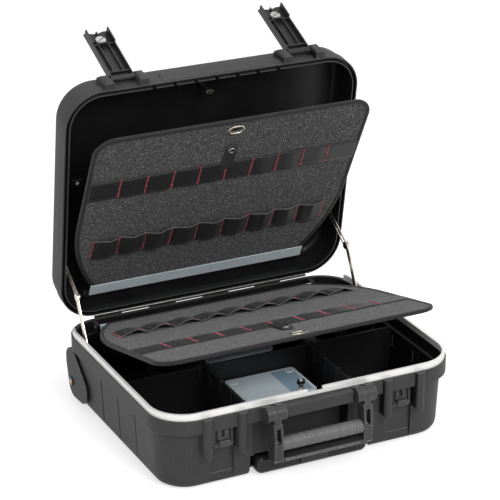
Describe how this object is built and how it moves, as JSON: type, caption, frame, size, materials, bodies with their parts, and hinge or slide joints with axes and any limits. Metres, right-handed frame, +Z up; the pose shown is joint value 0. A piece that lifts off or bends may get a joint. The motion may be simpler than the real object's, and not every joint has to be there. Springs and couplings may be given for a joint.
{
  "type": "tool case",
  "caption": "Hard trolley tool case with a hinged lid, two fold-out tool boards, over-centre latches, carry handle, telescopic trolley handle and wheels.",
  "frame": {"origin": "on the floor under the middle of the base, in the flat face of the bottom cover", "axes": "+X to the right as seen from the front, +Y to the hinge side, +Z up; the base stands flat and the lid is open"},
  "size_m": [0.5, 0.4891, 0.5813],
  "materials": {
    "case_plastic": "fine-grained matt dark grey plastic",
    "black_plastic": "satin black plastic",
    "aluminium": "bright anodised",
    "steel": "bright nickel plated",
    "dark_steel": "black coated",
    "brass": "pale brass",
    "felt": "speckled grey needle felt",
    "edging": "woven edging",
    "elastic": "woven elastic",
    "strip": "grey-blue vinyl",
    "clear_box": "translucent light blue plastic",
    "rubber": "matt black rubber"
  },
  "bodies": {
    "base": {"base_shell": "case_plastic", "trolley_tunnel": "case_plastic", "wheel_housings": "case_plastic", "divider_guides": "case_plastic", "aluminium_frame": "aluminium", "trolley_cover": "case_plastic", "trolley_sleeves": "aluminium", "wheel_bolts": "steel", "latch_keepers": "black_plastic", "handle_brackets": "case_plastic", "handle_pins": "steel", "hinge_base_leaf": "dark_steel", "hinge_pin": "steel", "stay_base_pins": "steel", "long_dividers": "black_plastic", "cross_divider": "black_plastic", "front_box_tray": "clear_box", "rear_box_tray": "clear_box", "lower_catch_bracket": "steel"},
    "front_box_cover": {"front_box_lid": "clear_box"},
    "rear_box_cover": {"rear_box_lid": "clear_box"},
    "lower_button": {"lower_turn_button": "black_plastic"},
    "lower_hinge_strip": {"lower_strip": "strip"},
    "lower_tool_board": {"lower_board": "felt", "lower_edging": "edging", "lower_pockets": "elastic", "lower_band": "elastic", "lower_eyelet": "brass", "lower_tab": "black_plastic"},
    "lid": {"lid_shell": "case_plastic", "hinge_lid_leaf": "dark_steel", "latch_axles": "steel", "stay_lid_pins": "steel", "upper_catch_post": "steel"},
    "upper_button": {"upper_turn_button": "steel"},
    "lever_left": {"latch_lever_left": "case_plastic"},
    "lever_right": {"latch_lever_right": "case_plastic"},
    "lock_left": {"latch_lock_left": "steel"},
    "lock_right": {"latch_lock_right": "steel"},
    "upper_hinge_strip": {"upper_strip": "strip"},
    "upper_tool_board": {"upper_board": "felt", "upper_edging": "edging", "upper_pockets": "elastic", "upper_band": "elastic", "upper_eyelet": "brass", "upper_tab": "black_plastic"},
    "lower_stay_left": {"stay_lower_left": "steel"},
    "lower_stay_right": {"stay_lower_right": "steel"},
    "upper_stay_left": {"stay_upper_left": "steel"},
    "upper_stay_right": {"stay_upper_right": "steel"},
    "carry_handle": {"handle_frame": "case_plastic", "handle_grip": "case_plastic"},
    "trolley_middle": {"trolley_mid_tubes": "aluminium"},
    "trolley_end": {"trolley_inner_tubes": "aluminium", "trolley_grip": "case_plastic"},
    "trolley_button": {"push_button": "case_plastic"},
    "wheel_left": {"wheel_hub_left": "case_plastic", "wheel_tyre_left": "rubber"},
    "wheel_right": {"wheel_hub_right": "case_plastic", "wheel_tyre_right": "rubber"}
  },
  "joints": [
    {"name": "lid_hinge", "type": "hinge", "parent": "base", "child": "lid", "pos_m": [0, 0.2026, 0.1234], "axis": [1, 0, 0], "range_deg": [0, 80.6]},
    {"name": "latch_left", "type": "hinge", "parent": "lid", "child": "lever_left", "pos_m": [-0.15, 0.1552, 0.52972], "axis": [1, 0, 0], "range_deg": [0, 166]},
    {"name": "lock_left", "type": "hinge", "parent": "lever_left", "child": "lock_left", "pos_m": [-0.15, 0.23688, 0.56506], "axis": [0, 0.3971, -0.9178], "range_deg": [0, 90]},
    {"name": "latch_right", "type": "hinge", "parent": "lid", "child": "lever_right", "pos_m": [0.15, 0.1552, 0.52972], "axis": [1, 0, 0], "range_deg": [0, 166]},
    {"name": "lock_right", "type": "hinge", "parent": "lever_right", "child": "lock_right", "pos_m": [0.15, 0.23688, 0.56506], "axis": [0, 0.3971, -0.9178], "range_deg": [0, 90]},
    {"name": "carry_handle", "type": "hinge", "parent": "base", "child": "carry_handle", "pos_m": [0, -0.212, 0.111], "axis": [-1, 0, 0], "range_deg": [0, 95]},
    {"name": "trolley_slide", "type": "slide", "parent": "base", "child": "trolley_middle", "axis": [0, -1, 0], "range_m": [0, 0.24]},
    {"name": "trolley_inner_slide", "type": "slide", "parent": "trolley_middle", "child": "trolley_end", "axis": [0, -1, 0], "range_m": [0, 0.24]},
    {"name": "trolley_release", "type": "slide", "parent": "trolley_end", "child": "trolley_button", "axis": [0, 1, 0], "range_m": [0, 0.003], "stiffness_N_per_m": 300},
    {"name": "wheel_left", "type": "hinge", "parent": "base", "child": "wheel_left", "pos_m": [-0.228, 0.1685, 0.034], "axis": [1, 0, 0], "continuous": true},
    {"name": "wheel_right", "type": "hinge", "parent": "base", "child": "wheel_right", "pos_m": [0.228, 0.1685, 0.034], "axis": [1, 0, 0], "continuous": true},
    {"name": "stay_lower_left", "type": "hinge", "parent": "base", "child": "lower_stay_left", "pos_m": [-0.2391, 0.108, 0.109], "axis": [1, 0, 0], "range_deg": [0, 98]},
    {"name": "stay_upper_left", "type": "hinge", "parent": "lid", "child": "upper_stay_left", "pos_m": [-0.2373, 0.22451, 0.23599], "axis": [1, 0, 0], "range_deg": [-97, 0]},
    {"name": "stay_lower_right", "type": "hinge", "parent": "base", "child": "lower_stay_right", "pos_m": [0.2391, 0.108, 0.109], "axis": [1, 0, 0], "range_deg": [0, 98]},
    {"name": "stay_upper_right", "type": "hinge", "parent": "lid", "child": "upper_stay_right", "pos_m": [0.2373, 0.22451, 0.23599], "axis": [1, 0, 0], "range_deg": [-97, 0]},
    {"name": "upper_strip_hinge", "type": "hinge", "parent": "lid", "child": "upper_hinge_strip", "pos_m": [0, 0.22581, 0.15522], "axis": [1, 0, 0], "range_deg": [-18.3, 0]},
    {"name": "upper_board_swing", "type": "hinge", "parent": "upper_hinge_strip", "child": "upper_tool_board", "pos_m": [0, 0.22581, 0.15522], "axis": [1, 0, 0], "range_deg": [-18.2, 0]},
    {"name": "lower_strip_hinge", "type": "hinge", "parent": "base", "child": "lower_hinge_strip", "pos_m": [0, 0.182, 0.1135], "axis": [1, 0, 0], "range_deg": [0, 14.2]},
    {"name": "lower_board_swing", "type": "hinge", "parent": "lower_hinge_strip", "child": "lower_tool_board", "pos_m": [0, 0.182, 0.1135], "axis": [1, 0, 0], "range_deg": [-45, 0]},
    {"name": "front_box_hinge", "type": "hinge", "parent": "base", "child": "front_box_cover", "pos_m": [0, -0.006, 0.06765], "axis": [1, 0, 0], "range_deg": [-70, 0]},
    {"name": "rear_box_hinge", "type": "hinge", "parent": "base", "child": "rear_box_cover", "pos_m": [0.005, 0.156, 0.06765], "axis": [1, 0, 0], "range_deg": [-33, 0]},
    {"name": "lower_button_turn", "type": "hinge", "parent": "base", "child": "lower_button", "pos_m": [0, -0.151, 0.12], "axis": [0, 0, 1], "range_deg": [0, 90]},
    {"name": "upper_button_turn", "type": "hinge", "parent": "lid", "child": "upper_button", "pos_m": [0, 0.16501, 0.48269], "axis": [0, -0.9866, -0.1633], "range_deg": [0, 90]}
  ],
  "couplings": [
    {"joint": "stay_lower_left", "follows": "lid_hinge", "ratio": 1.19},
    {"joint": "stay_lower_right", "follows": "lid_hinge", "ratio": 1.19},
    {"joint": "stay_upper_left", "follows": "lid_hinge", "ratio": -1.191},
    {"joint": "stay_upper_right", "follows": "lid_hinge", "ratio": -1.191},
    {"joint": "upper_strip_hinge", "follows": "lid_hinge", "ratio": -0.2258},
    {"joint": "lower_strip_hinge", "follows": "lid_hinge", "ratio": 0.1749}
  ]
}
